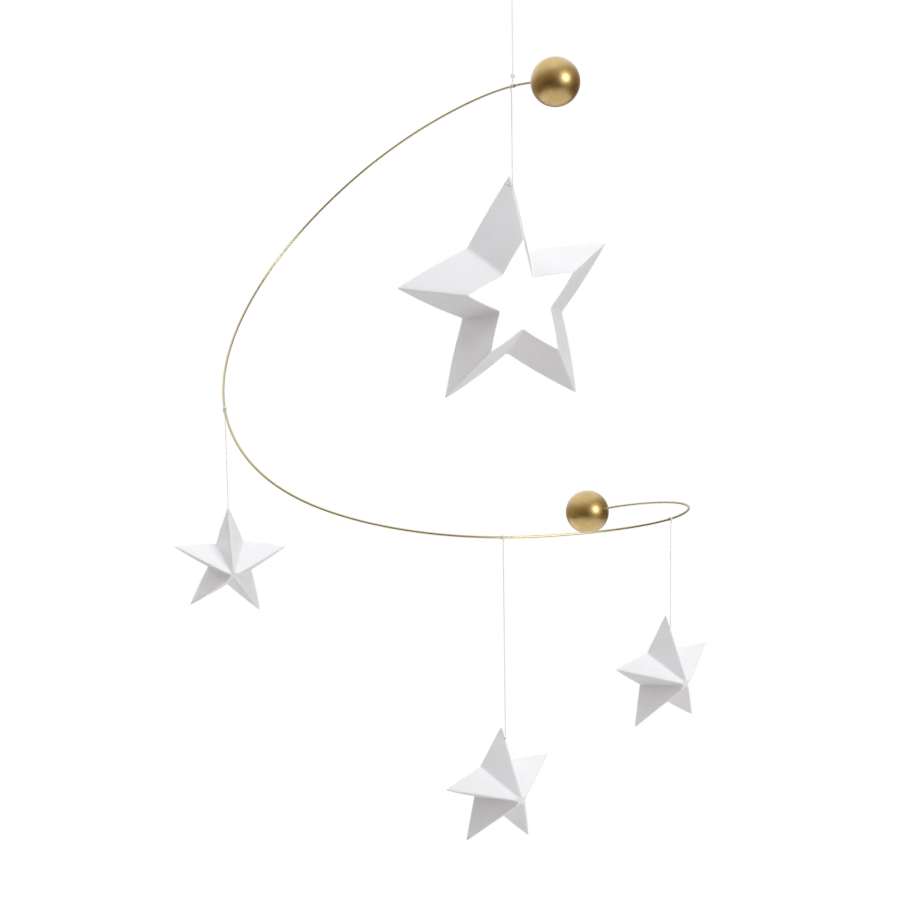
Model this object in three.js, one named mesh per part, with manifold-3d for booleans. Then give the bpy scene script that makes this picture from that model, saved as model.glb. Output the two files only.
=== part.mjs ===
// A hanging mobile: one brass wire bent into an open spiral, a gold ball on each end of it, and four
// stars of folded white card that hang from it on threads. A knotted thread loop carries it all.
// Millimetres, +Z up, the front faces -Y. The origin is the top of the loop, where a hook bears.
import * as THREE from "three";
import { NURBSCurve } from "three/addons/curves/NURBSCurve.js";
import { mergeVertices } from "three/addons/utils/BufferGeometryUtils.js";
import Module from "manifold-3d";

// Driving dimensions, all pieces
const clearance = 0.3; // left between pieces that touch

// Thread, its knots and its wraps round the wire
const threadDiameter = 0.6;
const knotRadius = 1.05; // middle of the overhand knot's ring
const wrapTurns = 1.75;
const wrapSpacing = 0.5; // open space between one wrap and the next
const wrapPitch = threadDiameter + wrapSpacing;
const hitchReach = 5; // from the wire's centre to where the hitch ends in its thread
const loopHeight = 22;
const loopWidth = 11;
const tipLoopRise = 3.6; // from a star's hole up to where the loop meets the thread
const mainThreadLength = 58;

// Wire: control points of a smooth curve from the upper ball's skin to the lower ball's skin, in thousandths
// of the spiral's width, depth and drop
const wireDiameter = 1.6;
const spiralWidth = 362;
const spiralDepth = 253;
const spiralDrop = 333;
const wireControl = [
  [55, -111, 3],
  [11, -12, 9],
  [-102, 190, -24],
  [-309, 368, -153],
  [-508, 320, -363],
  [-605, 71, -565],
  [-588, -253, -727],
  [-442, -526, -853],
  [-166, -621, -913],
  [77, -514, -928],
  [318, -308, -928],
  [395, 83, -931],
  [268, 296, -967],
  [207, 379, -991],
];
const mainHitchAt = 33; // along the wire from the upper ball's skin

// Balls
const ballDiameter = 35;
const wireInBall = 12;
const boreChamfer = 0.5;

// Stars: lengths of the folds in the card, from where they would all meet. The middle of a card is a window,
// with corners that far along the ridges, or it is pressed flat, that far behind where the folds would meet.
const cardThickness = 0.4;
const holeDiameter = 2;
const starPoints = 5;
const smallCard = { ridge: 53, valley: 39, pressed: 3.8 };
const bigCard = { ridge: 105, valley: 76.6, window: 53 };

// The big star hangs beside the main hitch, and each small one at a share of the wire between the balls.
// Degrees: facing turns a star about its thread, turns shift each ridge round the star and leans fold it
// back, both counted from the top point, anticlockwise as seen from the front.
const stars = [
  {
    name: "big",
    card: bigCard,
    besideMain: true,
    hang: 72,
    holeFromTip: 9.5,
    facing: 21,
    turns: [-4, 7, -4, -4, 4],
    leans: [30, 32, 32, 30, 32],
  },
  {
    name: "left",
    card: smallCard,
    wireShare: 0.432,
    hang: 76,
    holeFromTip: 5,
    facing: 11,
    turns: [6, 2, -5, -4, 0],
    leans: [35, 34, 34, 35, 38],
  },
  {
    name: "middle",
    card: smallCard,
    wireShare: 0.6827,
    hang: 140,
    holeFromTip: 9,
    facing: 32,
    turns: [-1, 7, -1, -7, 2],
    leans: [33, 31, 35, 29, 35],
  },
  {
    name: "right",
    card: smallCard,
    wireShare: 0.8225,
    hang: 80,
    holeFromTip: 10,
    facing: 32,
    turns: [-4, 3, 1, -1, 1],
    leans: [34, 35, 33, 30, 34],
  },
];

// Facets
const threadSides = 8;
const wrapSides = 6;
const wrapSteps = 24; // in one turn
const tailSteps = 8;
const knotSteps = 40;
const wireSteps = 110;
const ballSides = 32;
const ballRings = 14;

const up = new THREE.Vector3(0, 0, 1);
const rad = THREE.MathUtils.degToRad;

// Materials
const finish = (color, roughness, metalness) =>
  new THREE.MeshStandardMaterial({ color, roughness, metalness });
const cotton = finish(0xf3f1ec, 0.95, 0);
const brass = finish(0xc8a348, 0.25, 1);
const goldLacquer = finish(0xc9a66a, 0.38, 0.85);
const whiteCard = finish(0xf5f4f1, 0.85, 0);

// Joining and cutting
const wasm = await Module();
wasm.setup();

function solidOf(geometry) {
  const bare = new THREE.BufferGeometry();
  bare.setAttribute("position", geometry.getAttribute("position"));
  bare.setIndex(geometry.index);
  const merged = mergeVertices(bare, 1e-4);
  return new wasm.Manifold(
    new wasm.Mesh({
      numProp: 3,
      vertProperties: new Float32Array(merged.attributes.position.array),
      triVerts: new Uint32Array(merged.index.array),
    }),
  );
}

function cut(geometry, tool) {
  const mesh = solidOf(geometry).subtract(solidOf(tool)).getMesh();
  const result = new THREE.BufferGeometry();
  result.setAttribute("position", new THREE.BufferAttribute(mesh.vertProperties, 3));
  result.setIndex(new THREE.BufferAttribute(mesh.triVerts, 1));
  return result;
}

// The corner radius of a flat-sided section with the area of a round one, so that it weighs the same.
const cornerRadius = (diameter, sides) =>
  (diameter / 2) * Math.sqrt((2 * Math.PI) / (sides * Math.sin((2 * Math.PI) / sides)));

// A tube with flat sides along a curve, closed at both ends.
function tube(curve, diameter, sides, steps) {
  const radius = cornerRadius(diameter, sides);
  const ring = [];
  for (let i = 0; i < sides; i++) {
    const angle = (2 * Math.PI * i) / sides;
    ring.push(new THREE.Vector2(radius * Math.cos(angle), radius * Math.sin(angle)));
  }
  return new THREE.ExtrudeGeometry(new THREE.Shape(ring), { steps, extrudePath: curve });
}

// The least open space between stretches of a thread that lie more than half a wrap apart along it.
function leastGap(points, diameter, halfWrap) {
  let least = Infinity;
  const along = [0];
  for (let i = 1; i < points.length; i++) {
    along.push(along[i - 1] + points[i].distanceTo(points[i - 1]));
  }
  points.forEach((a, i) =>
    points.slice(i + 1).forEach((b, j) => {
      if (along[i + 1 + j] - along[i] > halfWrap) least = Math.min(least, a.distanceTo(b) - diameter);
    }),
  );
  return least;
}

// Wire: the spiral between the balls, with a straight end inside each ball.
const degree = 3;
const spans = wireControl.length - degree;
const innerKnots = Array.from({ length: spans - 1 }, (_, i) => (i + 1) / spans);
const knots = [...Array(degree + 1).fill(0), ...innerKnots, ...Array(degree + 1).fill(1)];
const spiral = new NURBSCurve(
  degree,
  knots,
  wireControl.map(
    ([x, y, z]) =>
      new THREE.Vector4((x * spiralWidth) / 1000, (y * spiralDepth) / 1000, (z * spiralDrop) / 1000, 1),
  ),
);
spiral.arcLengthDivisions = 1000;

// A place on the wire, with the main hitch at the origin, and the wire's direction there, down the spiral.
function wireAt(length) {
  const share = length / spiral.getLength();
  const origin = spiral.getPointAt(mainHitchAt / spiral.getLength());
  return {
    point: spiral.getPointAt(share).sub(origin),
    along: spiral.getTangentAt(share),
  };
}

const upperEnd = wireAt(0);
const lowerEnd = wireAt(spiral.getLength());
upperEnd.outward = upperEnd.along.clone().negate();
lowerEnd.outward = lowerEnd.along.clone();

function wireGeometry() {
  const origin = spiral.getPointAt(mainHitchAt / spiral.getLength());
  const end = (e) => e.point.clone().addScaledVector(e.outward, wireInBall).add(origin);
  const path = new THREE.CurvePath();
  path.add(new THREE.LineCurve3(end(upperEnd), spiral.getPoint(0)));
  path.add(spiral);
  path.add(new THREE.LineCurve3(spiral.getPoint(1), end(lowerEnd)));
  return tube(path, wireDiameter, threadSides, wireSteps).translate(-origin.x, -origin.y, -origin.z);
}

// Ball: turned, with a blind bore whose mouth, on +Y, is chamfered.
function ballGeometry() {
  const radius = ballDiameter / 2;
  const bore = wireDiameter / 2 + clearance;
  const mouth = Math.asin((bore + boreChamfer) / radius);
  const profile = [];
  for (let i = 0; i <= ballRings; i++) {
    const angle = Math.PI - ((Math.PI - mouth) * i) / ballRings;
    profile.push(new THREE.Vector2(i ? radius * Math.sin(angle) : 0, radius * Math.cos(angle)));
  }
  const floor = radius - wireInBall - clearance;
  profile.push(new THREE.Vector2(bore, radius * Math.cos(mouth) - boreChamfer));
  profile.push(new THREE.Vector2(bore, floor));
  profile.push(new THREE.Vector2(0, floor));
  return new THREE.LatheGeometry(profile, ballSides);
}

// Overhand knot: a three-lobed ring of thread, upright, with its flat side to the front.
const knotReach = 1.5 * knotRadius + threadDiameter / 2;
const knotHalfThickness = (knotRadius + threadDiameter) / 2;

function knotGeometry() {
  const thick = cornerRadius(threadDiameter, wrapSides);
  const knot = new THREE.TorusKnotGeometry(knotRadius, thick, knotSteps, wrapSides, 2, 3);
  return knot.rotateZ(Math.PI / 2).rotateX(Math.PI / 2);
}

// Straight thread between two heights.
function threadGeometry(top, bottom) {
  const line = new THREE.LineCurve3(new THREE.Vector3(0, 0, top), new THREE.Vector3(0, 0, bottom));
  return tube(line, threadDiameter, threadSides, tailSteps);
}

// Hitch about a place on the wire: wraps that climb along it, leave at its side and turn into the thread.
// The thread runs upwards or downwards, and the wraps lie behind the leaving turn.
function hitchGeometry(along, runsUp, wrapsUpWire) {
  const thread = up.clone().multiplyScalar(runsUp ? 1 : -1);
  const axis = along.clone().multiplyScalar(wrapsUpWire ? 1 : -1);
  const toward = thread.clone().projectOnPlane(axis).normalize();
  const side = axis.clone().cross(toward);
  const reach = (wireDiameter + threadDiameter) / 2 + clearance;
  const points = [];
  const count = Math.round(wrapTurns * wrapSteps);
  for (let i = 0; i <= count; i++) {
    const turnsLeft = wrapTurns * (1 - i / count);
    const angle = -Math.PI / 2 - 2 * Math.PI * turnsLeft;
    points.push(
      new THREE.Vector3()
        .addScaledVector(axis, -wrapPitch * turnsLeft)
        .addScaledVector(toward, reach * Math.cos(angle))
        .addScaledVector(side, reach * Math.sin(angle)),
    );
  }
  const leave = points[count];
  const end = thread.clone().multiplyScalar(hitchReach);
  const bend = hitchReach / 2;
  const tail = new THREE.CubicBezierCurve3(
    leave,
    leave.clone().addScaledVector(toward, bend),
    end.clone().addScaledVector(thread, -bend),
    end,
  );
  points.push(...tail.getSpacedPoints(tailSteps).slice(1));
  const gap = leastGap(points, threadDiameter, Math.PI * reach);
  console.log("least gap in a hitch's wraps:", gap.toFixed(2), "mm");
  return tube(new THREE.CatmullRomCurve3(points), threadDiameter, wrapSides, points.length - 1);
}

// The point on three planes, each moved back by the same distance along its normal.
function setBack(normals, distance) {
  const [a, b, c] = normals;
  const planes = new THREE.Matrix3(a.x, a.y, a.z, b.x, b.y, b.z, c.x, c.y, c.z);
  return new THREE.Vector3(-distance, -distance, -distance).applyMatrix3(planes.invert());
}

const meanOf = (points) =>
  points.reduce((sum, point) => sum.add(point), new THREE.Vector3()).divideScalar(points.length);

// Star: the folds of the card. Each facet keeps its flat shape, so a valley is where the two facets
// that meet in it close up, behind the plane of the two ridges beside it.
function foldedStar({ card, holeFromTip, turns, leans }) {
  const step = 360 / starPoints;
  const half = rad(step / 2);
  const ridges = turns.map((turn, i) => {
    const azimuth = rad(90 + step * i + turn);
    const lean = rad(leans[i]);
    return new THREE.Vector3(
      Math.cos(lean) * Math.cos(azimuth),
      Math.cos(lean) * Math.sin(azimuth),
      -Math.sin(lean),
    ).multiplyScalar(card.ridge);
  });
  const valleys = ridges.map((a, i) => {
    const b = ridges[(i + 1) % starPoints];
    const share = (card.ridge * card.valley * Math.cos(half)) / (card.ridge ** 2 + a.dot(b));
    const between = a.clone().add(b).multiplyScalar(share);
    const depth = Math.sqrt(card.valley ** 2 - between.lengthSq());
    const normal = a.clone().cross(b).normalize();
    return between.addScaledVector(normal, -depth);
  });
  // Fold lines in order round the star: ridge, valley, ridge, valley
  const outer = ridges.flatMap((ridge, i) => [ridge, valleys[i]]);
  const inner = outer.map((fold) =>
    fold.clone().multiplyScalar(card.window ? card.window / card.ridge : -card.pressed / fold.z),
  );
  const count = outer.length;
  const normals = outer.map((a, i) => a.clone().cross(outer[(i + 1) % count]).normalize());
  const before = (i) => normals[(i + count - 1) % count];
  const mitre = (i) => before(i).clone().add(normals[i]).divideScalar(1 + before(i).dot(normals[i]));
  const outerBack = outer.map((fold, i) => fold.clone().addScaledVector(mitre(i), -cardThickness));
  const innerBack = inner.map((point, i) =>
    card.window
      ? point.clone().addScaledVector(mitre(i), -cardThickness)
      : point.clone().add(setBack([before(i), normals[i], up], cardThickness)),
  );
  const ridge = ridges[0].clone().normalize();
  const hole = ridge.clone().multiplyScalar(card.ridge - holeFromTip);
  // How far behind the ridge a thing lies for each unit that it keeps from both sides of the fold
  const foldMitre = mitre(0).length();
  const holeAxis = mitre(0).normalize();
  return { card, outer, inner, outerBack, innerBack, ridge, hole, holeAxis, foldMitre };
}

// Corners of a star's front: two triangles for each facet, and one for each side of a flat middle.
function frontOf({ card, outer, inner }) {
  const middle = meanOf(inner);
  return outer.flatMap((a, i) => {
    const next = (i + 1) % outer.length;
    const facet = [
      [a, outer[next], inner[next]],
      [a, inner[next], inner[i]],
    ];
    return card.window ? facet : [...facet, [middle, inner[i], inner[next]]];
  });
}

// A star's balance point: the mean of its front's triangles, each with its area as weight.
function balanceOf(star) {
  const sum = new THREE.Vector3();
  let total = 0;
  for (const corners of frontOf(star)) {
    const area = new THREE.Triangle(...corners).getArea();
    sum.addScaledVector(meanOf(corners), area);
    total += area;
  }
  return sum.divideScalar(total);
}

// The card as a solid about its thread hole: front, back, outer edge and the edge of a window.
function starGeometry(star) {
  const behind = { card: star.card, outer: star.outerBack, inner: star.innerBack };
  const triangles = [...frontOf(star), ...frontOf(behind).map(([a, b, c]) => [a, c, b])];
  const rim = (front, back) =>
    front.forEach((a, i) => {
      const next = (i + 1) % front.length;
      triangles.push([a, back[i], back[next]], [a, back[next], front[next]]);
    });
  rim(star.outer, star.outerBack);
  if (star.card.window) rim(star.innerBack, star.inner);
  const card = new THREE.BufferGeometry().setFromPoints(triangles.flat());
  card.setIndex(triangles.flatMap((_, i) => [3 * i, 3 * i + 1, 3 * i + 2]));
  const drill = new THREE.CylinderGeometry(holeDiameter / 2, holeDiameter / 2, 4 * holeDiameter, 16);
  drill.applyQuaternion(new THREE.Quaternion().setFromUnitVectors(new THREE.Vector3(0, 1, 0), star.holeAxis));
  const { x, y, z } = star.hole;
  return cut(card.translate(-x, -y, -z), drill);
}

// How a star hangs: its front to -Y, its middle plumb under its hole, then turned about the thread.
function hungTurn(star, facing) {
  const upright = new THREE.Quaternion().setFromAxisAngle(new THREE.Vector3(1, 0, 0), Math.PI / 2);
  const rise = star.hole.clone().sub(balanceOf(star)).applyQuaternion(upright).normalize();
  const plumb = new THREE.Quaternion().setFromUnitVectors(rise, up);
  const yaw = new THREE.Quaternion().setFromAxisAngle(up, rad(facing));
  return yaw.multiply(plumb).multiply(upright);
}

// Loop about a star's hole: from the thread above it bends through the hole, to the knot inside the fold.
function tipLoopGeometry(out, knotDepth) {
  const bend = tipLoopRise / 2;
  const curve = new THREE.CubicBezierCurve3(
    up.clone().multiplyScalar(tipLoopRise),
    up.clone().multiplyScalar(bend),
    out.clone().multiplyScalar(bend),
    out.clone().multiplyScalar(knotReach + clearance - knotDepth),
  );
  return tube(curve, threadDiameter, threadSides, 2 * tailSteps);
}

// Hanging loop: a drop shape whose two legs meet at the knot below it.
function hangingLoopGeometry() {
  const leg = (threadDiameter + wrapSpacing) / 2;
  const crown = threadDiameter / 2;
  const bulge = loopWidth / 2;
  const halfLoop = (sign) => [
    new THREE.Vector3(sign * leg, 0, -loopHeight),
    new THREE.Vector3(sign * leg, 0, -loopHeight + 3 * threadDiameter),
    new THREE.Vector3(sign * bulge * 0.62, 0, -loopHeight * 0.6),
    new THREE.Vector3(sign * bulge, 0, -loopHeight * 0.27),
    new THREE.Vector3(sign * bulge * 0.6, 0, -loopHeight * 0.04),
  ];
  const top = new THREE.Vector3(0, 0, crown);
  const points = [...halfLoop(-1), top, ...halfLoop(1).reverse()];
  return tube(new THREE.CatmullRomCurve3(points), threadDiameter, threadSides, 5 * tailSteps);
}

// Assembly
const mobile = new THREE.Group();

function piece(parent, name, geometry, material) {
  const mesh = new THREE.Mesh(geometry, material);
  mesh.name = name;
  parent.add(mesh);
  return mesh;
}

// Loop, knot, main thread and main knot, from the top down to the wire
const loopKnotAt = -loopHeight - clearance - knotReach;
const mainThreadTop = loopKnotAt - knotReach - clearance;
const mainThreadBottom = mainThreadTop - mainThreadLength;
const mainKnotAt = mainThreadBottom - clearance - knotReach;
const wireHeight = mainKnotAt - knotReach - clearance - hitchReach;
piece(mobile, "hanging_loop", hangingLoopGeometry(), cotton);
piece(mobile, "loop_knot", knotGeometry(), cotton).position.z = loopKnotAt;
piece(mobile, "main_thread", threadGeometry(mainThreadTop, mainThreadBottom), cotton);
piece(mobile, "main_knot", knotGeometry(), cotton).position.z = mainKnotAt;

// Spiral and what is fixed to it
const frame = new THREE.Group();
frame.position.z = wireHeight;
mobile.add(frame);
piece(frame, "spiral_wire", wireGeometry(), brass);
piece(frame, "main_hitch", hitchGeometry(wireAt(mainHitchAt).along, true, true), cotton);
for (const [name, end] of [["upper_ball", upperEnd], ["lower_ball", lowerEnd]]) {
  const ball = piece(frame, name, ballGeometry(), goldLacquer);
  ball.position.copy(end.point).addScaledVector(end.outward, ballDiameter / 2);
  const mouthWay = end.outward.clone().negate();
  ball.quaternion.setFromUnitVectors(new THREE.Vector3(0, 1, 0), mouthWay);
}

// Stars: each in a group at its hitch, with hitch, thread, loop, knot and card from the top down. The knot is
// turned edge on into the fold, as deep as its thickness needs between the two sides.
for (const placed of stars) {
  const hitchAt = placed.besideMain ? mainHitchAt + 1.5 * wrapPitch : placed.wireShare * spiral.getLength();
  const { point, along } = wireAt(hitchAt);
  const hung = new THREE.Group();
  hung.position.copy(point);
  frame.add(hung);
  const star = foldedStar(placed);
  const turn = hungTurn(star, placed.facing);
  const out = star.holeAxis.clone().applyQuaternion(turn);
  const ridge = star.ridge.clone().applyQuaternion(turn);
  const knotDepth = (cardThickness + clearance + knotHalfThickness) * star.foldMitre + knotRadius;
  const threadTop = -hitchReach - clearance;
  const threadBottom = tipLoopRise + clearance - placed.hang;
  piece(hung, placed.name + "_star_hitch", hitchGeometry(along, false, !placed.besideMain), cotton);
  piece(hung, placed.name + "_star_thread", threadGeometry(threadTop, threadBottom), cotton);
  const loop = piece(hung, placed.name + "_star_loop", tipLoopGeometry(out, knotDepth), cotton);
  loop.position.z = -placed.hang;
  const knot = piece(hung, placed.name + "_star_knot", knotGeometry(), cotton);
  knot.position.z = -placed.hang;
  knot.position.addScaledVector(out, -knotDepth);
  const edgeOn = new THREE.Matrix4().makeBasis(out, ridge.clone().cross(out), ridge);
  knot.quaternion.setFromRotationMatrix(edgeOn);
  const card = piece(hung, placed.name + "_star", starGeometry(star), whiteCard);
  card.position.z = -placed.hang;
  card.quaternion.copy(turn);
}

export default mobile;
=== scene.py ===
"""Looks of a hanging mobile: folded card stars and gold balls on a brass wire spiral, hung on cotton thread.

Metres, +Z up, the front faces -Y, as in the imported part. Each piece is worked out where its solid is, rides
on the same body and stands for that solid. The camera looks as in the photograph.
"""

import math

import bpy
import numpy as np
from mathutils import Matrix, Vector


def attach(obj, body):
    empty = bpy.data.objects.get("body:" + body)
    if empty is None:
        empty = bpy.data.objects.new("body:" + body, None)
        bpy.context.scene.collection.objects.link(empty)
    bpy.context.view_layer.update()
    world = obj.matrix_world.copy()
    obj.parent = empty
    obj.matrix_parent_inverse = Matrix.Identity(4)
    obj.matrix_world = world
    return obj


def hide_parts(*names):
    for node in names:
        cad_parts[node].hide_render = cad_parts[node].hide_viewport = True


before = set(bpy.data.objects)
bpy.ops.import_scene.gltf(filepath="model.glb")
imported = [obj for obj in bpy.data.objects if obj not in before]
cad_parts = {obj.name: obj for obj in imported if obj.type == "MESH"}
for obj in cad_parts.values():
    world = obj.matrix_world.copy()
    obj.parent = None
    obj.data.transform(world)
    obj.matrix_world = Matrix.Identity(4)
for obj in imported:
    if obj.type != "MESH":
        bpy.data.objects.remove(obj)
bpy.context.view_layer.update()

MM = 0.001

# Thread, its knots and its wraps round the wire
CLEARANCE = 0.3 * MM
THREAD = 0.6 * MM
PLIES = 3
PLY_DEPTH = 0.045  # how deep the furrows between the plies are, as a share of the radius
PLY_TURN = 2.6 * MM  # length in which a ply goes once round
THREAD_STEP = 0.2 * MM  # between rows of points along a thread
THREAD_SIDES = 15
KNOT_RADIUS = 1.05 * MM
KNOT_REACH = 1.5 * KNOT_RADIUS + THREAD / 2
KNOT_HALF_THICKNESS = (KNOT_RADIUS + THREAD) / 2
WRAP_TURNS = 1.75
WRAP_PITCH = 1.1 * MM
WRAP_GAP = 0.05 * MM  # between a wrap and the wire
HITCH_REACH = 5 * MM
LOOP_HEIGHT = 22 * MM
LOOP_WIDTH = 11 * MM
LOOP_LEG = 0.55 * MM  # from the middle to each leg of the loop at its knot
TIP_LOOP_RISE = 3.6 * MM  # from a star's hole up to where its loop meets the thread
MAIN_THREAD_LENGTH = 58 * MM

# Wire: control points of a smooth curve, in thousandths of the spiral's width, depth and drop
WIRE = 1.6 * MM
SPIRAL_SPANS = np.array([362, 253, 333]) * MM
WIRE_CONTROL = np.array([
    [55, -111, 3],
    [11, -12, 9],
    [-102, 190, -24],
    [-309, 368, -153],
    [-508, 320, -363],
    [-605, 71, -565],
    [-588, -253, -727],
    [-442, -526, -853],
    [-166, -621, -913],
    [77, -514, -928],
    [318, -308, -928],
    [395, 83, -931],
    [268, 296, -967],
    [207, 379, -991],
]) / 1000 * SPIRAL_SPANS
WIRE_STEP = 1 * MM
WIRE_SIDES = 20
MAIN_HITCH_AT = 33 * MM
BESIDE_MAIN = 1.5 * WRAP_PITCH  # along the wire from the main hitch to the big star's

# Balls
BALL = 35 * MM
WIRE_IN_BALL = 12 * MM
BORE_GAP = 0.05 * MM
BORE_CHAMFER = 0.2 * MM
BALL_RINGS = 72
BALL_SIDES = 96
BALL_POLE = 0.012  # angle left open round the far pole, in radians, closed by a flat cap

# Stars: lengths of the folds in the card, from where they would all meet. The middle is a window, with
# corners that far along the ridges, or pressed flat, that far behind where the folds would meet.
CARD = 0.4 * MM
HOLE = 1 * MM
POINTS = 5
PRESS_ROUND = 0.9 * MM  # reach of the bend into the flat middle
WIDEST_BEND = 0.4  # of a facet's width, for the bend on each side of it
BESIDE_CREASE = 0.6  # how worn the rows next to a fold are, as a share of the fold itself
TIE_GAP = 0.02 * MM  # between the card and a strand on it
SMALL_CARD = {
    "ridge": 53 * MM,
    "valley": 39 * MM,
    "pressed": 3.8 * MM,
    "ridge_round": 1.2 * MM,  # reach of the bend on each side of a fold
    "valley_round": 0.8 * MM,
    "bow": 0.4 * MM,  # how far the middle of a facet's edge bulges
    "rows": 16,
}
BIG_CARD = {
    "ridge": 105 * MM,
    "valley": 76.6 * MM,
    "window": 53 * MM,
    "ridge_round": 1.2 * MM,
    "valley_round": 2.2 * MM,
    "bow": 1.2 * MM,
    "rows": 24,
}
# Degrees: facing turns a star about its thread, turns shift each ridge round the star and leans fold it back
STARS = [
    {
        "name": "big",
        "card": BIG_CARD,
        "beside_main": True,
        "hang": 72 * MM,
        "hole_from_tip": 9.5 * MM,
        "edge_tie": True,
        "facing": 21,
        "turns": [-4, 7, -4, -4, 4],
        "leans": [30, 32, 32, 30, 32],
    },
    {
        "name": "left",
        "card": SMALL_CARD,
        "wire_share": 0.432,
        "hang": 76 * MM,
        "hole_from_tip": 5 * MM,
        "facing": 11,
        "turns": [6, 2, -5, -4, 0],
        "leans": [35, 34, 34, 35, 38],
    },
    {
        "name": "middle",
        "card": SMALL_CARD,
        "wire_share": 0.6827,
        "hang": 140 * MM,
        "hole_from_tip": 9 * MM,
        "facing": 32,
        "turns": [-1, 7, -1, -7, 2],
        "leans": [33, 31, 35, 29, 35],
    },
    {
        "name": "right",
        "card": SMALL_CARD,
        "wire_share": 0.8225,
        "hang": 80 * MM,
        "hole_from_tip": 10 * MM,
        "facing": 32,
        "turns": [-4, 3, 1, -1, 1],
        "leans": [34, 35, 33, 30, 34],
    },
]

UP = np.array([0.0, 0.0, 1.0])
FRONT = np.array([0.0, -1.0, 0.0])
SIDE = np.array([1.0, 0.0, 0.0])

# Edges stay sharp where faces meet at more than these degrees
SHARP = 50
SHARP_PLIES = 80
SHARP_BALL = 35


# Vectors, turns and lines

def unit(vectors):
    """Each vector over its own length."""
    return vectors / np.linalg.norm(vectors, axis=-1, keepdims=True)


def turn_about(axis, degrees):
    """Matrix of a turn about an axis through the origin."""
    return np.array(Matrix.Rotation(math.radians(degrees), 3, Vector(axis)))


def turn_between(start, end):
    """Matrix of the shortest turn that carries one direction onto another."""
    return np.array(Vector(start).rotation_difference(Vector(end)).to_matrix())


def lengths_along(points):
    """Distance from the first point to each point, along the line through them."""
    steps = np.linalg.norm(np.diff(points, axis=0), axis=1)
    return np.concatenate([[0], np.cumsum(steps)])


def at_lengths(points, lengths):
    """Places on a line at the given distances along it, between its points in proportion."""
    along = lengths_along(points)
    return np.stack([np.interp(lengths, along, points[:, k]) for k in range(3)], -1)


def evenly(points, step):
    """The same line with points at equal distances of about one step."""
    total = lengths_along(points)[-1]
    return at_lengths(points, np.linspace(0, total, max(2, round(total / step) + 1)))


def clamped_spline(control, shares):
    """Cubic spline through its end control points: each point is a weighted mean of the control points.

    The weights start as 1 in the knot span that holds the share, and each of three passes blends neighbours
    in proportion to how far the share lies between their knots.
    """
    degree = 3
    spans = len(control) - degree
    knots = np.concatenate([np.zeros(degree), np.linspace(0, 1, spans + 1), np.ones(degree)])
    share = np.minimum(shares, 1 - 1e-9)[:, None]
    weights = ((share >= knots[:-1]) & (share < knots[1:])).astype(float)
    for order in range(1, degree + 1):
        count = len(knots) - 1 - order
        rise = knots[order:order + count] - knots[:count]
        fall = knots[order + 1:order + 1 + count] - knots[1:1 + count]
        up = (share - knots[:count]) / np.where(rise > 0, rise, np.inf)
        down = (knots[order + 1:order + 1 + count] - share) / np.where(fall > 0, fall, np.inf)
        weights = up * weights[:, :count] + down * weights[:, 1:count + 1]
    return weights @ control


def smooth_line(points, per_span=24):
    """A line that passes smoothly through its points.

    Each span is a cubic from point to point whose end slopes come from the neighbours on both sides, timed
    by the square root of the distances, so that it doesn't overshoot where points are close.
    """
    points = np.asarray(points)
    ends = np.concatenate([[2 * points[0] - points[1]], points, [2 * points[-1] - points[-2]]])
    gap = np.sqrt(np.linalg.norm(np.diff(ends, axis=0), axis=1))[:, None]
    slope = np.diff(ends, axis=0) / gap
    joined = (ends[2:] - ends[:-2]) / (gap[:-1] + gap[1:])
    tangent = slope[:-1] + slope[1:] - joined
    share = np.linspace(0, 1, per_span, endpoint=False)[None, :, None]
    a, b = points[:-1, None], points[1:, None]
    leave, arrive = (tangent[:-1] * gap[1:-1])[:, None], (tangent[1:] * gap[1:-1])[:, None]
    line = (
        (2 * share**3 - 3 * share**2 + 1) * a
        + (share**3 - 2 * share**2 + share) * leave
        + (3 * share**2 - 2 * share**3) * b
        + (share**3 - share**2) * arrive
    )
    return np.concatenate([line.reshape(-1, 3), points[-1:]])


# Meshes

def carried_round(line, reference, radius, closed=False):
    """A round profile carried along a line, as rows of points.

    Each row is the line's point plus the radius times (cosine of the angle times a side direction plus its
    sine times a top direction). The side direction is the reference less its part along the line, and the
    radius has a row for each point and a column for each angle.
    """
    if closed:
        along = unit(np.roll(line, -1, axis=0) - np.roll(line, 1, axis=0))
    else:
        along = unit(np.gradient(line, axis=0))
    side = unit(reference - (along @ reference)[:, None] * along)
    top = np.cross(along, side)
    angle = 2 * np.pi * np.arange(radius.shape[1]) / radius.shape[1]
    ring = np.cos(angle)[None, :, None] * side[:, None] + np.sin(angle)[None, :, None] * top[:, None]
    return line[:, None] + radius[..., None] * ring


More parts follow.
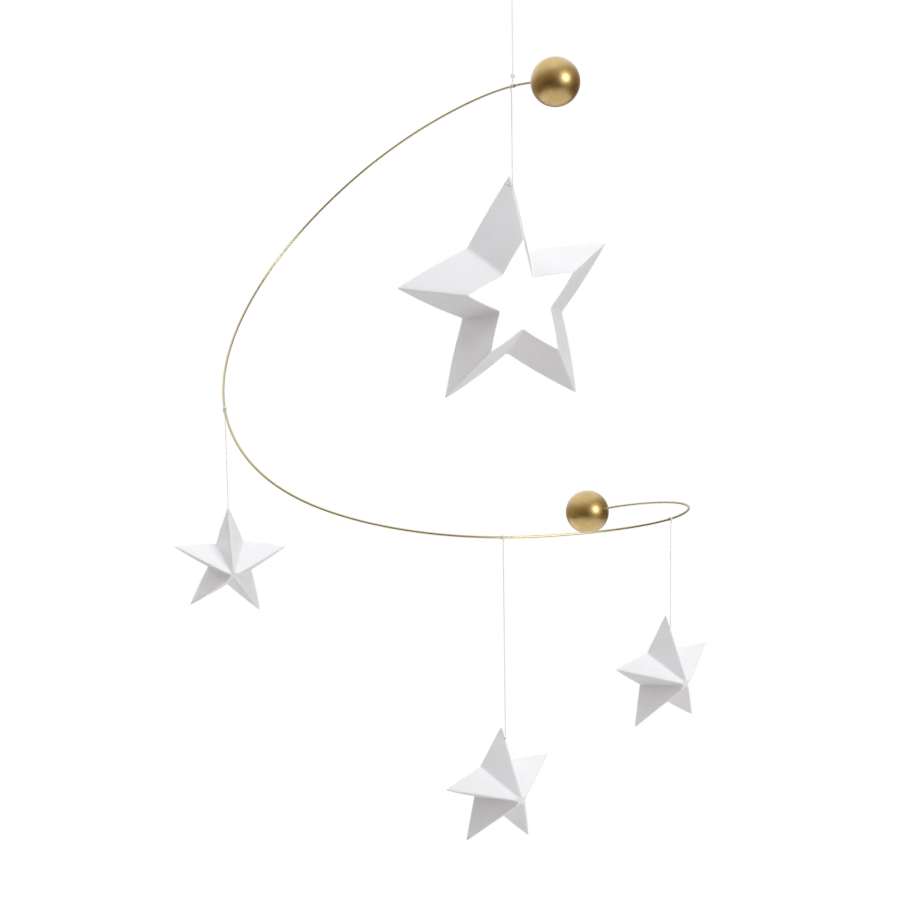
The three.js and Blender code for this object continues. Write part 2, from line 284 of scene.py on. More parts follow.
def mesh_piece(name, grid, material, closed=False, sharp=SHARP):
    """A closed mesh over rows of points: quads between rows, and a flat cap on each end of an open piece.

    The UV map holds the share of the way round a row, and the distance along the rows in metres.
    """
    rows, columns = grid.shape[:2]
    row, column = np.meshgrid(np.arange(rows if closed else rows - 1), np.arange(columns), indexing="ij")
    corners = [(row, column), (row, column + 1), (row + 1, column + 1), (row + 1, column)]
    quads = np.stack([(r % rows) * columns + c % columns for r, c in corners], -1).reshape(-1, 4)
    step = lengths_along(grid.mean(axis=1))[-1] / max(1, rows - 1)
    uv = np.stack([np.stack([c / columns, r * step], -1) for r, c in corners], 2).reshape(-1, 2)
    faces = quads.tolist()
    if not closed:
        faces.append(list(range(columns))[::-1])
        faces.append(list(range((rows - 1) * columns, rows * columns)))
        uv = np.concatenate([uv, np.zeros((2 * columns, 2))])
    mesh = bpy.data.meshes.new(name)
    mesh.from_pydata(grid.reshape(-1, 3).tolist(), [], faces)
    mesh.uv_layers.new(name="UVMap").data.foreach_set("uv", uv.astype(np.float32).ravel())
    mesh.shade_smooth()
    mesh.set_sharp_from_angle(angle=math.radians(sharp))
    mesh.materials.append(material)
    piece = bpy.data.objects.new(name, mesh)
    bpy.context.scene.collection.objects.link(piece)
    return piece


def plied(name, line, reference, material, closed=False):
    """Twisted thread along a line: its radius swells over each ply and dips between plies.

    The radius is half the thread times (1 + depth times the cosine of the ply angle), and the ply angle is
    the number of plies times (the angle round the thread less a full turn for each length of lay).
    """
    if closed:
        line = np.concatenate([line, line[:1]])
    line = evenly(line, THREAD_STEP)
    along = lengths_along(line)[:, None]
    lay = along[-1] / max(1, round(float(along[-1, 0]) / PLY_TURN * PLIES)) * PLIES
    angle = (2 * np.pi * np.arange(THREAD_SIDES) / THREAD_SIDES)[None, :]
    radius = THREAD / 2 * (1 + PLY_DEPTH * np.cos(PLIES * (angle - 2 * np.pi * along / lay)))
    if closed:
        line, radius = line[:-1], radius[:-1]
    return mesh_piece(name, carried_round(line, reference, radius, closed), material, closed, SHARP_PLIES)


def stand_in(piece, node, body):
    """The piece shows in place of a solid and moves with its body."""
    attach(piece, body)
    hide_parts(node)
    return piece


# Finishes

def new_material(name):
    """A node material, with its node tree and the Principled shader on its output."""
    material = bpy.data.materials.new(name)
    material.use_nodes = True
    tree = material.node_tree
    shader = tree.nodes["Principled BSDF"]
    return material, tree, shader


def add_node(tree, kind, inputs=None, **settings):
    """A node with its settings, and its inputs set to values or linked from other sockets."""
    node = tree.nodes.new(kind)
    for key, value in settings.items():
        setattr(node, key, value)
    for key, value in (inputs or {}).items():
        if isinstance(value, bpy.types.NodeSocket):
            tree.links.new(value, node.inputs[key])
        else:
            node.inputs[key].default_value = value
    return node


def mottle_group():
    """Shared effect: patches and fine grain as one tone from 0 to 1, and a height for bumps."""
    group = bpy.data.node_groups.new("mottle", "ShaderNodeTree")
    face = group.interface
    face.new_socket("Vector", in_out="INPUT", socket_type="NodeSocketVector")
    for name, value in (("Patch Scale", 60.0), ("Grain Scale", 1500.0), ("Grain Share", 0.5)):
        face.new_socket(name, in_out="INPUT", socket_type="NodeSocketFloat").default_value = value
    face.new_socket("Tone", in_out="OUTPUT", socket_type="NodeSocketFloat")
    face.new_socket("Height", in_out="OUTPUT", socket_type="NodeSocketFloat")
    inside = add_node(group, "NodeGroupInput")
    outside = add_node(group, "NodeGroupOutput")
    patches = add_node(
        group,
        "ShaderNodeTexNoise",
        {"Vector": inside.outputs["Vector"], "Scale": inside.outputs["Patch Scale"], "Detail": 3.0},
    )
    grain = add_node(
        group,
        "ShaderNodeTexNoise",
        {
            "Vector": inside.outputs["Vector"],
            "Scale": inside.outputs["Grain Scale"],
            "Detail": 4.0,
            "Roughness": 0.65,
        },
    )
    blend = add_node(
        group,
        "ShaderNodeMix",
        {
            "Factor": inside.outputs["Grain Share"],
            "A": patches.outputs["Fac"],
            "B": grain.outputs["Fac"],
        },
        data_type="FLOAT",
    )
    group.links.new(blend.outputs["Result"], outside.inputs["Tone"])
    group.links.new(grain.outputs["Fac"], outside.inputs["Height"])
    return group


MOTTLE = mottle_group()


def mottle(tree, coordinates, patch, grain, share):
    """The shared effect placed in a material with its own scales."""
    node = add_node(tree, "ShaderNodeGroup", node_tree=MOTTLE)
    tree.links.new(coordinates, node.inputs["Vector"])
    node.inputs["Patch Scale"].default_value = patch
    node.inputs["Grain Scale"].default_value = grain
    node.inputs["Grain Share"].default_value = share
    return node


def ramp(tree, value, stops):
    """A colour ramp over a value, from (place, colour) stops."""
    node = add_node(tree, "ShaderNodeValToRGB", {"Fac": value})
    elements = node.color_ramp.elements
    while len(elements) < len(stops):
        elements.new(0.5)
    for element, (place, colour) in zip(elements, stops):
        element.position = place
        element.color = (*colour, 1.0)
    return node.outputs["Color"]


def level(tree, value, low, high, start=0.0, end=1.0):
    """A value carried from one range to another."""
    node = add_node(
        tree,
        "ShaderNodeMapRange",
        {"Value": value, "From Min": low, "From Max": high, "To Min": start, "To Max": end},
    )
    return node.outputs["Result"]


def bump(tree, height, distance, strength):
    """A normal from a height, with the height's reach in metres."""
    node = add_node(tree, "ShaderNodeBump", {"Height": height, "Distance": distance, "Strength": strength})
    return node.outputs["Normal"]


def card_finish():
    """Matt white card: faint cloudiness and fibres, paler where a fold has stretched the surface."""
    material, tree, shader = new_material("white_card")
    place = add_node(tree, "ShaderNodeTexCoord").outputs["Object"]
    fibre = mottle(tree, place, 45.0, 1400.0, 0.35)
    crease = add_node(tree, "ShaderNodeAttribute", attribute_name="crease").outputs["Fac"]
    tone = ramp(tree, fibre.outputs["Tone"], [(0.3, (0.86, 0.855, 0.852)), (0.7, (0.905, 0.903, 0.903))])
    worn = add_node(
        tree,
        "ShaderNodeMix",
        {"Factor": level(tree, crease, 0.0, 1.0, 0.0, 0.5), "A": tone, "B": (0.93, 0.93, 0.928, 1.0)},
        data_type="RGBA",
    )
    tree.links.new(worn.outputs["Result"], shader.inputs["Base Color"])
    tree.links.new(level(tree, fibre.outputs["Tone"], 0.3, 0.7, 0.78, 0.9), shader.inputs["Roughness"])
    tree.links.new(bump(tree, fibre.outputs["Height"], 0.03 * MM, 0.25), shader.inputs["Normal"])
    shader.inputs["Specular IOR Level"].default_value = 0.25
    return material


def cotton_finish():
    """White cotton: fine fibres that run with the twist, and a soft sheen."""
    material, tree, shader = new_material("white_cotton")
    place = add_node(tree, "ShaderNodeTexCoord").outputs["Object"]
    fibre = mottle(tree, place, 300.0, 6000.0, 0.6)
    tone = ramp(tree, fibre.outputs["Tone"], [(0.3, (0.91, 0.905, 0.9)), (0.7, (0.96, 0.957, 0.953))])
    tree.links.new(tone, shader.inputs["Base Color"])
    tree.links.new(bump(tree, fibre.outputs["Height"], 0.03 * MM, 0.25), shader.inputs["Normal"])
    shader.inputs["Roughness"].default_value = 0.95
    shader.inputs["Specular IOR Level"].default_value = 0.2
    shader.inputs["Sheen Weight"].default_value = 0.2
    return material


def brass_finish():
    """Drawn brass: bright, with faint lines along the wire and slow changes of tarnish."""
    material, tree, shader = new_material("drawn_brass")
    uv = add_node(tree, "ShaderNodeTexCoord").outputs["UV"]
    drawn = add_node(tree, "ShaderNodeMapping", {"Vector": uv, "Scale": (14.0, 60.0, 1.0)})
    lines = mottle(tree, drawn.outputs["Vector"], 0.6, 3.0, 0.5)
    tone = ramp(
        tree,
        lines.outputs["Tone"],
        [(0.3, (0.515, 0.457, 0.25)), (0.55, (0.67, 0.612, 0.355)), (0.75, (0.77, 0.72, 0.445))],
    )
    tree.links.new(tone, shader.inputs["Base Color"])
    tree.links.new(level(tree, lines.outputs["Tone"], 0.3, 0.7, 0.34, 0.2), shader.inputs["Roughness"])
    tree.links.new(bump(tree, lines.outputs["Height"], 0.02 * MM, 0.2), shader.inputs["Normal"])
    shader.inputs["Metallic"].default_value = 1.0
    return material


def gold_finish():
    """Satin gold lacquer over turned wood: fine metal grain in tone, gloss and relief."""
    material, tree, shader = new_material("gold_lacquer")
    place = add_node(tree, "ShaderNodeTexCoord").outputs["Object"]
    grain = mottle(tree, place, 120.0, 2200.0, 0.65)
    tone = ramp(
        tree,
        grain.outputs["Tone"],
        [(0.32, (0.53, 0.34, 0.09)), (0.5, (0.66, 0.465, 0.15)), (0.68, (0.79, 0.61, 0.25))],
    )
    tree.links.new(tone, shader.inputs["Base Color"])
    tree.links.new(level(tree, grain.outputs["Tone"], 0.3, 0.7, 0.47, 0.38), shader.inputs["Roughness"])
    tree.links.new(bump(tree, grain.outputs["Height"], 0.06 * MM, 0.35), shader.inputs["Normal"])
    shader.inputs["Metallic"].default_value = 1.0
    shader.inputs["Coat Weight"].default_value = 1.0
    shader.inputs["Coat Roughness"].default_value = 0.25
    shader.inputs["Coat IOR"].default_value = 1.65
    return material


CARD_FINISH = card_finish()
COTTON = cotton_finish()
BRASS = brass_finish()
GOLD = gold_finish()


# Wire and balls

LOOP_KNOT_AT = -LOOP_HEIGHT - CLEARANCE - KNOT_REACH
MAIN_THREAD_TOP = LOOP_KNOT_AT - KNOT_REACH - CLEARANCE
MAIN_THREAD_BOTTOM = MAIN_THREAD_TOP - MAIN_THREAD_LENGTH
MAIN_KNOT_AT = MAIN_THREAD_BOTTOM - CLEARANCE - KNOT_REACH
WIRE_HEIGHT = MAIN_KNOT_AT - KNOT_REACH - CLEARANCE - HITCH_REACH

spiral = evenly(clamped_spline(WIRE_CONTROL, np.linspace(0, 1, 8000)), 0.5 * MM)
spiral += WIRE_HEIGHT * UP - at_lengths(spiral, [MAIN_HITCH_AT])[0]
spiral_length = lengths_along(spiral)[-1]


def on_wire(length):
    """A place on the wire at a distance from the upper ball, and the wire's direction there."""
    near = 0.2 * MM
    before, place, after = at_lengths(spiral, [length - near, length, length + near])
    return place, unit(after - before)


def wire_piece():
    """Round wire along the spiral, with a straight end in each ball."""
    first, last = unit(spiral[0] - spiral[1]), unit(spiral[-1] - spiral[-2])
    depth = np.linspace(0, WIRE_IN_BALL, 12)[1:, None]
    line = np.concatenate([(spiral[0] + depth * first)[::-1], spiral, spiral[-1] + depth * last])
    line = evenly(line, WIRE_STEP)
    radius = np.full((len(line), WIRE_SIDES), WIRE / 2)
    piece = mesh_piece("brass_spiral_wire", carried_round(line, UP, radius), BRASS)
    return stand_in(piece, "spiral_wire", "spiral")


def ball_piece(node, skin_point, outward):
    """A turned ball with a blind bore: a profile of (radius, height) turned about the wire's direction.

    The profile runs from the far pole over the ball to the mouth, down a chamfer and the bore to its floor.
    """
    radius = BALL / 2
    bore = WIRE / 2 + BORE_GAP
    mouth = math.asin((bore + BORE_CHAMFER) / radius)
    angle = np.linspace(np.pi - BALL_POLE, mouth, BALL_RINGS)
    floor = radius - WIRE_IN_BALL - CLEARANCE
    chamfer = radius * math.cos(mouth) - BORE_CHAMFER
    wide = np.concatenate([radius * np.sin(angle), [bore, bore, 0.05 * bore]])
    high = np.concatenate([radius * np.cos(angle), [chamfer, floor, floor]])
    centre = skin_point + radius * outward
    line = centre - high[:, None] * outward
    turn = turn_between(UP, -outward)
    turned = 2 * np.pi * np.arange(BALL_SIDES) / BALL_SIDES
    ring = np.stack([np.cos(turned), np.sin(turned), 0 * turned], -1) @ turn.T
    grid = line[:, None] + wide[:, None, None] * ring
    return stand_in(mesh_piece("gold_" + node, grid, GOLD, sharp=SHARP_BALL), node, "spiral")


wire_piece()
ball_piece("upper_ball", spiral[0], unit(spiral[0] - spiral[1]))
ball_piece("lower_ball", spiral[-1], unit(spiral[-1] - spiral[-2]))


# Thread: hitches, knots, loops and straight runs

def knot_line(place, turn=np.eye(3)):
    """Overhand knot drawn tight: a three-lobed ring that passes over and under itself.

    Twice round, the ring's radius swells three times and its depth rises and falls with it; the ring stands
    upright and faces the front before it is turned.
    """
    angle = np.linspace(0, 4 * np.pi, 240, endpoint=False)
    swell = 1.5 * angle
    wide = KNOT_RADIUS * (2 + np.cos(swell)) / 2
    flat = np.stack([-wide * np.sin(angle), wide * np.cos(angle), KNOT_RADIUS / 2 * np.sin(swell)], -1)
    return place + flat @ turn_about(SIDE, 90).T @ turn.T


def curve_between(start, leave, arrive, end, count):
    """Points of a cubic curve from a start to an end, shaped by two controls between them."""
    share = np.linspace(0, 1, count)[:, None]
    weights = [(1 - share)**3, 3 * share * (1 - share)**2, 3 * share**2 * (1 - share), share**3]
    return sum(weight * control for weight, control in zip(weights, (start, leave, arrive, end)))


def hitch_line(place, along, runs_up, wraps_up_wire):
    """Wraps round the wire that climb along it, then a bend that leaves at the wire's side into the thread.

    A wrap's point is the distance along the axis plus the wrap radius times (cosine towards the thread plus
    sine to the side); the bend is a cubic curve between the last wrap and the thread's axis.
    """
    thread = UP if runs_up else -UP
    axis = along if wraps_up_wire else -along
    toward = unit(thread - (thread @ axis) * axis)
    side = np.cross(axis, toward)
    reach = (WIRE + THREAD) / 2 + WRAP_GAP
    left = WRAP_TURNS * np.linspace(1, 0, 160)[:, None]
    angle = -np.pi / 2 - 2 * np.pi * left
    wraps = -WRAP_PITCH * left * axis + reach * (np.cos(angle) * toward + np.sin(angle) * side)
    start, end = wraps[-1], (HITCH_REACH + CLEARANCE) * thread
    half = HITCH_REACH / 2
    bend = curve_between(start, start + half * toward, end - half * thread, end, 30)
    return place + np.concatenate([wraps, bend[1:]])


def straight(place, top, bottom):
    """A thread held straight by its load, from one height to another, a little into the pieces it meets."""
    ends = np.array([place + (top + CLEARANCE) * UP, place + (bottom - CLEARANCE) * UP])
    return ends[0] + np.linspace(0, 1, 40)[:, None] * (ends[1] - ends[0])


def cotton_piece(node, body, line, reference, closed=False):
    """One piece of thread in place of its solid."""
    piece = plied("cotton_" + node, line, reference, COTTON, closed)
    return stand_in(piece, node, body)


def hanging_loop_line():
    """A drop shape: two legs side by side at the knot, which spread and close over the top."""
    bulge = LOOP_WIDTH / 2
    half = np.array([
        [LOOP_LEG, 0, -LOOP_HEIGHT - CLEARANCE],
        [LOOP_LEG, 0, -LOOP_HEIGHT + 3 * THREAD],
        [0.62 * bulge, 0, -0.6 * LOOP_HEIGHT],
        [bulge, 0, -0.27 * LOOP_HEIGHT],
        [0.6 * bulge, 0, -0.04 * LOOP_HEIGHT],
    ])
    return smooth_line(np.concatenate([half * [-1, 1, 1], [[0, 0, THREAD / 2]], half[::-1]]))


def main_thread_pieces():
    """The loop on its hook, its knot, the thread and the knot and wraps that hold the wire."""
    origin = np.zeros(3)
    place, along = on_wire(MAIN_HITCH_AT)
    loop = cotton_piece("hanging_loop", "hanging_loop", hanging_loop_line(), FRONT)
    upper = cotton_piece("loop_knot", "loop_knot", knot_line(LOOP_KNOT_AT * UP), FRONT, closed=True)
    lower = cotton_piece("main_knot", "main_knot", knot_line(MAIN_KNOT_AT * UP), FRONT, closed=True)
    hitch = cotton_piece("main_hitch", "main_hitch", hitch_line(place, along, True, True), along)
    line = straight(origin, MAIN_THREAD_TOP, MAIN_THREAD_BOTTOM)
    thread = cotton_piece("main_thread", "main_thread", line, SIDE)


main_thread_pieces()


# Stars

def fold_lines(star):
    """Ends of the ridge and valley folds of a star, from its middle, in turn round the star.

    Ridges lean back from the star's plane. Each facet keeps its flat shape, so a valley lies below the plane
    of its two ridges, where both facets reach it.
    """
    card = star["card"]
    ridge, valley = card["ridge"], card["valley"]
    step = 360 / POINTS
    azimuth = np.radians(90 + step * np.arange(POINTS) + star["turns"])
    lean = np.radians(star["leans"])
    flat = np.stack([np.cos(azimuth), np.sin(azimuth)], -1) * np.cos(lean)[:, None]
    ridges = ridge * np.concatenate([flat, -np.sin(lean)[:, None]], -1)
    after = np.roll(ridges, -1, axis=0)
    share = ridge * valley * math.cos(math.radians(step / 2)) / (ridge**2 + (ridges * after).sum(-1))
    between = share[:, None] * (ridges + after)
    depth = np.sqrt(valley**2 - (between**2).sum(-1))
    valleys = between - depth[:, None] * unit(np.cross(ridges, after))
    return np.stack([ridges, valleys], 1).reshape(-1, 3)


def setting_back(folds, thickness):
    """How far each fold moves when every facet moves back by a thickness along its own normal."""
    normals = unit(np.cross(folds, np.roll(folds, -1, axis=0)))
    before = np.roll(normals, 1, axis=0)
    return -thickness * (before + normals) / (1 + (before * normals).sum(-1, keepdims=True))


def inner_shares(card, folds, thickness=0.0):
    """The share of each fold, from the meeting point of the folds, where the window or flat middle starts."""
    if "window" in card:
        return np.full(len(folds), card["window"] / card["ridge"])
    return (card["pressed"] + thickness + setting_back(folds, thickness)[:, 2]) / -folds[:, 2]


def balance(card, folds):
    """The balance point of a star: the mean of its triangles, each with its area as weight.

    There are two triangles for each facet, and one for each side of a flat middle.
    """
    inner = inner_shares(card, folds)[:, None] * folds
    after, inner_after = np.roll(folds, -1, axis=0), np.roll(inner, -1, axis=0)
    parts = [np.stack([folds, after, inner_after], 1), np.stack([folds, inner_after, inner], 1)]
    if "pressed" in card:
        middle = np.tile(inner.mean(0), (len(inner), 1))
        parts.append(np.stack([middle, inner, inner_after], 1))
    a, b, c = np.concatenate(parts).transpose(1, 0, 2)
    area = np.linalg.norm(np.cross(b - a, c - a), axis=-1)
    return area @ (a + b + c) / 3 / area.sum()


def hung(star, folds):
    """How a star hangs: the place and direction of the wire, its hole, and its turn that hangs it plumb."""
    card = star["card"]
    hole = folds[0] * (1 - star["hole_from_tip"] / card["ridge"])
    upright = turn_about(SIDE, 90)
    plumb = turn_between(upright @ (hole - balance(card, folds)), UP)
    turn = turn_about(UP, star["facing"]) @ plumb @ upright
    if star.get("beside_main"):
        hitch_at = MAIN_HITCH_AT + BESIDE_MAIN
    else:
        hitch_at = star["wire_share"] * spiral_length
    top, along = on_wire(hitch_at)
    hole_at = top - star["hang"] * UP
    return top, along, hole, hole_at, turn


def bent(points, at):
    """Five neighbouring rows, of which the middle three move onto a curve tangent to both sides.

    The curve is a parabola from the second row before to the second row after, with the middle row as corner.
    """
    before, corner, after = points[at - 2], points[at].copy(), points[at + 2]
    for row, share in ((at - 1, 0.25), (at, 0.5), (at + 1, 0.75)):
        points[row] = (1 - share)**2 * before + 2 * share * (1 - share) * corner + share**2 * after


def folded_face(card, folds, thickness):
    """A face of the card as rows from its edge inwards: the front, or one that lies behind it.

    A point is the share of the way out times the mean of the two folds beside it, set back by the thickness
    and bowed outwards by a parabola across the facet. Within the reach of a bend it moves onto a parabola
    tangent to both facets. A face behind the front bends more tightly at ridges and more widely at valleys.
    A pressed card goes on over a bend into a flat middle, whose points close in on its centre.
    """
    inside = 12
    pressed = "pressed" in card
    bend = (PRESS_ROUND - thickness / 2) / card["ridge"]
    down = np.linspace(0, 1 - bend if pressed else 1, card["rows"])
    if pressed:
        down = np.concatenate([down, [1 - bend / 2, 1]])
    out = 1 - down[:, None] * (1 - inner_shares(card, folds, thickness))
    out_after = np.roll(out, -1, axis=1)
    after = np.roll(folds, -1, axis=0)
    normals = unit(np.cross(folds, after))
    back = setting_back(folds, thickness)
    turned = (normals * np.roll(normals, 1, axis=0)).sum(-1)
    half_turn = np.sqrt((1 - turned) / (1 + turned))
    is_ridge = np.arange(len(folds)) % 2 == 0
    at_ridge, at_valley = card["ridge_round"], card["valley_round"]
    reach = np.where(is_ridge, at_ridge - thickness * half_turn, at_valley + thickness * half_turn)
    wide = np.linalg.norm(np.cross(folds, after), axis=-1)
    size = np.linalg.norm(folds, axis=-1)
    first = np.minimum(reach * size / (out * wide), WIDEST_BEND)[..., None]
    last = np.minimum(np.roll(reach * size, -1) / (out_after * wide), WIDEST_BEND)[..., None]
    near = np.concatenate([[0, 0.5], np.ones(inside), [1]])
    across = np.concatenate([[0, 0], np.linspace(0, 1, inside), [1]])
    far = np.concatenate([np.zeros(inside + 2), [0.5]])
    share = (near * first + across * (1 - first - last) + far * last)[..., None]
    out, out_after = out[..., None, None], out_after[..., None, None]
    starts = out * folds[:, None] + back[:, None]
    ends = out_after * after[:, None] + np.roll(back, -1, axis=0)[:, None]
    bow = card["bow"] * out * 4 * share * (1 - share) * normals[:, None]
    points = ((1 - share) * starts + share * ends + bow).reshape(len(out), -1, 3)
    crease = np.zeros(points.shape[:2])
    fold = share.shape[2] * np.arange(len(folds))
    bent(points.swapaxes(0, 1), fold)
    crease[:, fold] = 1
    crease[:, fold - 1] = BESIDE_CREASE
    crease[:, fold + 1] = BESIDE_CREASE
    if pressed:
        rim = points[-1]
        closer = np.array([0.11, 0.22, 0.4, 0.6, 0.8, 0.97])[:, None, None]
        points = np.concatenate([points, rim + closer * (rim.mean(0) - rim)])
        crease = np.concatenate([crease, np.zeros((len(closer), points.shape[1]))])
        bent(points, card["rows"] + 1)
    return points, crease


def pierced(piece, place, axis):
    """The piece with a round hole through it along an axis."""
    turn = turn_between(UP, axis)
    angle = 2 * np.pi * np.arange(32) / 32
    ring = HOLE / 2 * np.stack([np.cos(angle), np.sin(angle), 0 * angle], -1) @ turn.T
    heights = np.array([-4 * HOLE, 4 * HOLE])[:, None, None] * axis
    drill = mesh_piece("drill", place + heights + ring, CARD_FINISH)
    cut = piece.modifiers.new("thread hole", "BOOLEAN")
    cut.object = drill
    cut.operation = "DIFFERENCE"
    cut.solver = "EXACT"
    whole = piece.data
    graph = bpy.context.evaluated_depsgraph_get()
    piece.data = bpy.data.meshes.new_from_object(piece.evaluated_get(graph))
    piece.modifiers.clear()
    piece.data.name = piece.name
    spare = drill.data
    bpy.data.objects.remove(drill)
    bpy.data.meshes.remove(spare)
    bpy.data.meshes.remove(whole)
    piece.data.set_sharp_from_angle(angle=math.radians(SHARP))
    return piece


def card_piece(star, folds, hole, hole_at, turn, hole_axis):
    """A folded star: a back one card's thickness behind its front, and a hole for the thread.

    The rows run out over the back, round the edge and in over the front, and meet at a window.
    """
    front, crease = folded_face(star["card"], folds, 0)
    back, _ = folded_face(star["card"], folds, CARD)
    grid = (np.concatenate([back[::-1], front]) - hole) @ turn.T + hole_at
    piece = mesh_piece("card_" + star["name"] + "_star", grid, CARD_FINISH, closed="window" in star["card"])
    marks = piece.data.attributes.new("crease", "FLOAT", "POINT")
    marks.data.foreach_set("value", np.concatenate([crease[::-1], crease]).astype(np.float32).ravel())
    pierced(piece, hole_at, hole_axis)
    return stand_in(piece, star["name"] + "_star", star["name"] + "_star")


def edge_tie_line(card, folds, hole, start):
    """A strand from inside the fold round the edge of the first facet and back over its front to the hole.

    It takes the shortest way between hole and edge, half a thread off the card on both faces, follows the
    bow of the facet, and goes round the edge in a half circle.
    """
    edge = folds[1] - folds[0]
    share = (hole - folds[0]) @ edge / (edge @ edge)
    reach = folds[0] + share * edge - hole
    normal, outward = unit(np.cross(folds[0], folds[1])), unit(reach)
    off = THREAD / 2 + TIE_GAP

    def over(part, lift):
        bow = card["bow"] * 4 * part * share * (1 - part * share)
        return part * reach + (bow + lift) * normal

    angle = np.radians([[0], [45], [90], [135], [180]])
    half_circle = np.sin(angle) * outward - np.cos(angle) * normal
    rim = over(1, -CARD / 2) + (CARD / 2 + off) * half_circle
    front = [over(0.7, off), over(0.4, off), over(0.12, off), over(0, -THREAD)]
    return smooth_line(np.concatenate([[start, over(0.5, -CARD - off)], rim, front]))


def star_pieces(star):
    """A star with its wraps on the wire, its thread, and the loop and knot that hold it at its hole.

    The loop bends from the thread above through the hole. The knot lies edge on inside the fold, as deep as
    its thickness needs between the two sides.
    """
    name = star["name"] + "_star"
    folds = fold_lines(star)
    top, along, hole, hole_at, turn = hung(star, folds)
    mitre = -setting_back(folds, 1.0)[0]
    out, ridge = turn @ unit(mitre), turn @ unit(folds[0])
    side = np.cross(ridge, out)
    depth = (CARD + CLEARANCE + KNOT_HALF_THICKNESS) * np.linalg.norm(mitre) + KNOT_RADIUS
    line = straight(top, -HITCH_REACH - CLEARANCE, TIP_LOOP_RISE + CLEARANCE - star["hang"])
    wraps = hitch_line(top, along, False, not star.get("beside_main"))
    hitch = cotton_piece(name + "_hitch", name + "_hitch", wraps, along)
    thread = cotton_piece(name + "_thread", name + "_thread", line, SIDE)
    half = TIP_LOOP_RISE / 2
    through = curve_between(TIP_LOOP_RISE * UP, half * UP, half * out, (KNOT_REACH - depth) * out, 40)
    if star.get("edge_tie"):
        tie = edge_tie_line(star["card"], folds, hole, through[-1] @ turn)
        through = np.concatenate([through, tie[1:] @ turn.T])
    loop = cotton_piece(name + "_loop", name, hole_at + through, side)
    ring = knot_line(hole_at - depth * out, np.stack([out, side, ridge], 1))
    knot = cotton_piece(name + "_knot", name, ring, side, closed=True)
    card_piece(star, folds, hole, hole_at, turn, out)


for star in STARS:
    star_pieces(star)


# Camera, light and stage: metres, degrees and watts

LENS = 68  # millimetres, as is the sensor's width
SENSOR = 36
CAMERA_AT = (-0.0499, -1.2615, -0.18304)
CAMERA_DOWN = 8
CAMERA_LEAN = -0.9
LAMPS_AIM_AT = Vector((-0.05, 0, -0.35))
COOL = (0.965, 0.98, 1.0)
ROSY = (1.0, 0.95, 0.985)
WHITE = (1.0, 1.0, 1.0, 1.0)
SOFT_LIGHT = (1.0, 0.955, 0.985, 1.0)
SOFT_STRENGTH = 0.235

# What balls and wire mirror: a direction is paler the more it points the white way, and less so to the sides
WHITE_WAY = (-0.22, 0.45, 0.8)
LESS_ASIDE = (0.2, 0.0, 0.0)
DIMMEST, WHITEST = -0.6, 0.9
ROOM_STOPS = [
    (0.16, (0.05, 0.02, 0.006)),
    (0.32, (0.22, 0.145, 0.07)),
    (0.5, (0.31, 0.25, 0.19)),
    (0.62, (0.4, 0.35, 0.31)),
    (0.76, (0.9, 0.9, 0.9)),
    (0.84, (1.0, 1.0, 1.0)),
]

FLOOR_ACROSS = 2.6
FLOOR_HEIGHT = -1.15
FLOOR_COLOUR = (0.87, 0.862, 0.85, 1.0)
SHADOW_NEAR, SHADOW_FAR = 0.3, 0.95  # from the floor's middle: the shadow fades between these
PLAIN_NEAR, PLAIN_FAR = 0.2, 1.0  # the share of plain white there


def make_camera():
    """The photograph's view: a long lens a little above the mobile, tilted down and leaning slightly."""
    data = bpy.data.cameras.new("camera")
    data.lens = LENS
    data.sensor_width = SENSOR
    camera = bpy.data.objects.new("camera", data)
    down = Matrix.Rotation(math.radians(90 - CAMERA_DOWN), 4, "X")
    lean = Matrix.Rotation(math.radians(CAMERA_LEAN), 4, "Z")
    camera.matrix_world = Matrix.Translation(CAMERA_AT) @ (down @ lean)
    bpy.context.scene.collection.objects.link(camera)
    bpy.context.scene.camera = camera


def make_lamp(name, azimuth, elevation, distance, size, power, colour=COOL, mirrored=True):
    """A square soft lamp aimed at the mobile's middle; azimuth is from the camera's side to the right."""
    a, e = math.radians(azimuth), math.radians(elevation)
    away = Vector((math.cos(e) * math.sin(a), -math.cos(e) * math.cos(a), math.sin(e)))
    data = bpy.data.lights.new(name, "AREA")
    data.size = size
    data.energy = power
    data.color = colour
    lamp = bpy.data.objects.new(name, data)
    lamp.location = LAMPS_AIM_AT + distance * away
    lamp.rotation_euler = away.to_track_quat("Z", "Y").to_euler()
    lamp.visible_camera = False
    lamp.visible_glossy = mirrored
    bpy.context.scene.collection.objects.link(lamp)


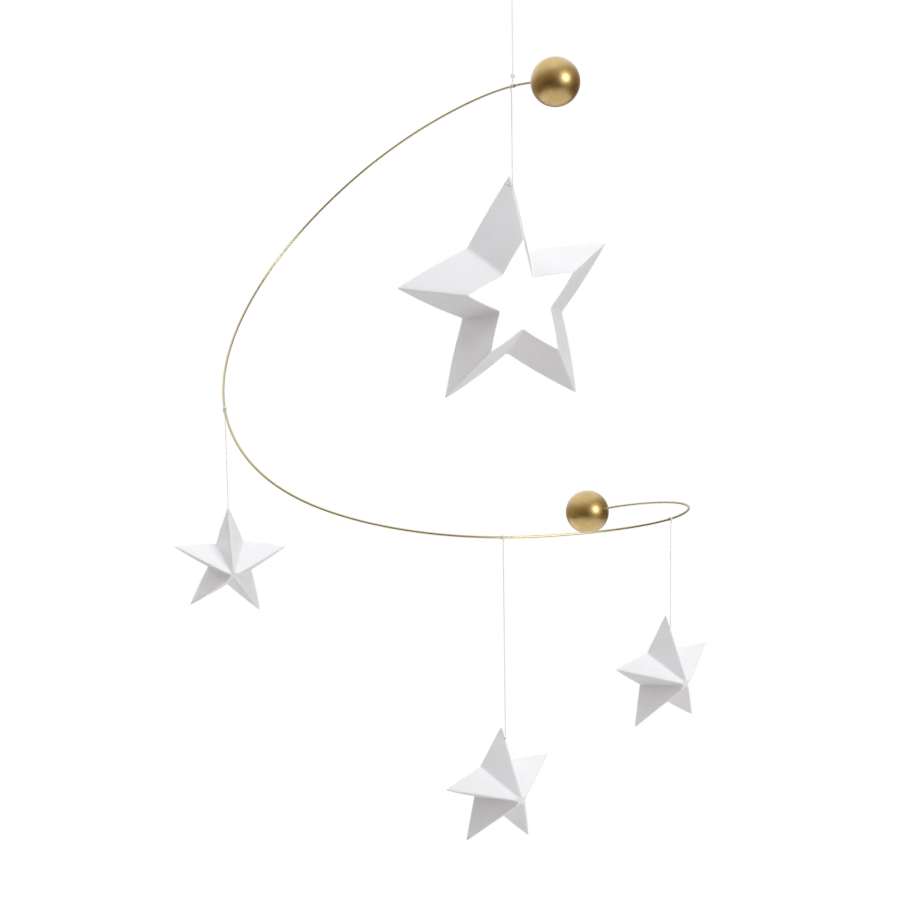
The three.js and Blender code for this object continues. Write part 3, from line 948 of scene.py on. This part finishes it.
def make_world():
    """White where the camera sees it, and soft light on the object.

    Reflections show white behind and above, which passes into a dim warm room on the camera's side.
    """
    world = bpy.data.worlds.new("studio")
    bpy.context.scene.world = world
    world.use_nodes = True
    tree = world.node_tree
    tree.nodes.clear()
    way = add_node(tree, "ShaderNodeTexCoord").outputs["Generated"]
    sizes = add_node(tree, "ShaderNodeVectorMath", {0: way}, operation="ABSOLUTE")
    aside = add_node(
        tree,
        "ShaderNodeVectorMath",
        {0: sizes.outputs["Vector"], 1: LESS_ASIDE},
        operation="DOT_PRODUCT",
    )
    over = add_node(tree, "ShaderNodeVectorMath", {0: way, 1: WHITE_WAY}, operation="DOT_PRODUCT")
    backdrop = add_node(
        tree, "ShaderNodeMath", {0: over.outputs["Value"], 1: aside.outputs["Value"]}, operation="SUBTRACT"
    )
    room = ramp(tree, level(tree, backdrop.outputs["Value"], DIMMEST, WHITEST), ROOM_STOPS)
    path = add_node(tree, "ShaderNodeLightPath")
    mirrored = path.outputs["Is Glossy Ray"]
    colour = add_node(
        tree, "ShaderNodeMix", {"Factor": mirrored, "A": SOFT_LIGHT, "B": room}, data_type="RGBA"
    )
    through = add_node(
        tree,
        "ShaderNodeMath",
        {0: path.outputs["Is Camera Ray"], 1: path.outputs["Is Transmission Ray"]},
        operation="MAXIMUM",
    )
    seen = add_node(tree, "ShaderNodeMath", {0: through.outputs["Value"], 1: mirrored}, operation="MAXIMUM")
    strength = add_node(
        tree,
        "ShaderNodeMix",
        {"Factor": seen.outputs["Value"], "A": SOFT_STRENGTH, "B": 1.0},
        data_type="FLOAT",
    )
    plain = add_node(
        tree,
        "ShaderNodeMix",
        {"Factor": through.outputs["Value"], "A": colour.outputs["Result"], "B": WHITE},
        data_type="RGBA",
    )
    sky = add_node(
        tree,
        "ShaderNodeBackground",
        {"Color": plain.outputs["Result"], "Strength": strength.outputs["Result"]},
    )
    end = add_node(tree, "ShaderNodeOutputWorld")
    tree.links.new(sky.outputs["Background"], end.inputs["Surface"])


def make_floor():
    """A pale floor below the mobile: it keeps a faint shadow near by, and is plain white further off."""
    corners = np.array([[-1, -1], [1, -1], [1, 1], [-1, 1]]) * FLOOR_ACROSS / 2
    points = np.concatenate([corners, np.full((4, 1), FLOOR_HEIGHT)], axis=1)
    mesh = bpy.data.meshes.new("floor")
    mesh.from_pydata(points.tolist(), [], [(0, 1, 2, 3)])
    material = bpy.data.materials.new("pale_floor")
    material.use_nodes = True
    tree = material.node_tree
    tree.nodes.clear()
    place = add_node(tree, "ShaderNodeTexCoord").outputs["Object"]
    flat = add_node(tree, "ShaderNodeVectorMath", {0: place, 1: (1.0, 1.0, 0.0)}, operation="MULTIPLY")
    far = add_node(tree, "ShaderNodeVectorMath", {0: flat.outputs["Vector"]}, operation="LENGTH")
    plain = level(tree, far.outputs["Value"], SHADOW_NEAR, SHADOW_FAR, PLAIN_NEAR, PLAIN_FAR)
    seen = add_node(tree, "ShaderNodeLightPath").outputs["Is Camera Ray"]
    share = add_node(tree, "ShaderNodeMath", {0: plain, 1: seen}, operation="MULTIPLY")
    matt = add_node(tree, "ShaderNodeBsdfDiffuse", {"Color": FLOOR_COLOUR})
    white = add_node(tree, "ShaderNodeEmission", {"Color": WHITE, "Strength": 1.0})
    mix = add_node(
        tree,
        "ShaderNodeMixShader",
        {0: share.outputs["Value"], 1: matt.outputs["BSDF"], 2: white.outputs["Emission"]},
    )
    end = add_node(tree, "ShaderNodeOutputMaterial")
    tree.links.new(mix.outputs["Shader"], end.inputs["Surface"])
    mesh.materials.append(material)
    floor = bpy.data.objects.new("floor", mesh)
    bpy.context.scene.collection.objects.link(floor)


make_camera()
make_lamp("key", azimuth=47, elevation=18, distance=5.0, size=2.3, power=111)
make_lamp("top", azimuth=0, elevation=88, distance=2.6, size=4.1, power=74.5, mirrored=False)
make_lamp("fill", azimuth=-125, elevation=15, distance=1.5, size=1.2, power=13.4, colour=ROSY, mirrored=False)
make_lamp("side", azimuth=-60, elevation=-5, distance=0.8, size=0.6, power=0.25, colour=ROSY, mirrored=False)
make_world()
make_floor()
bpy.context.scene.view_settings.view_transform = "Standard"
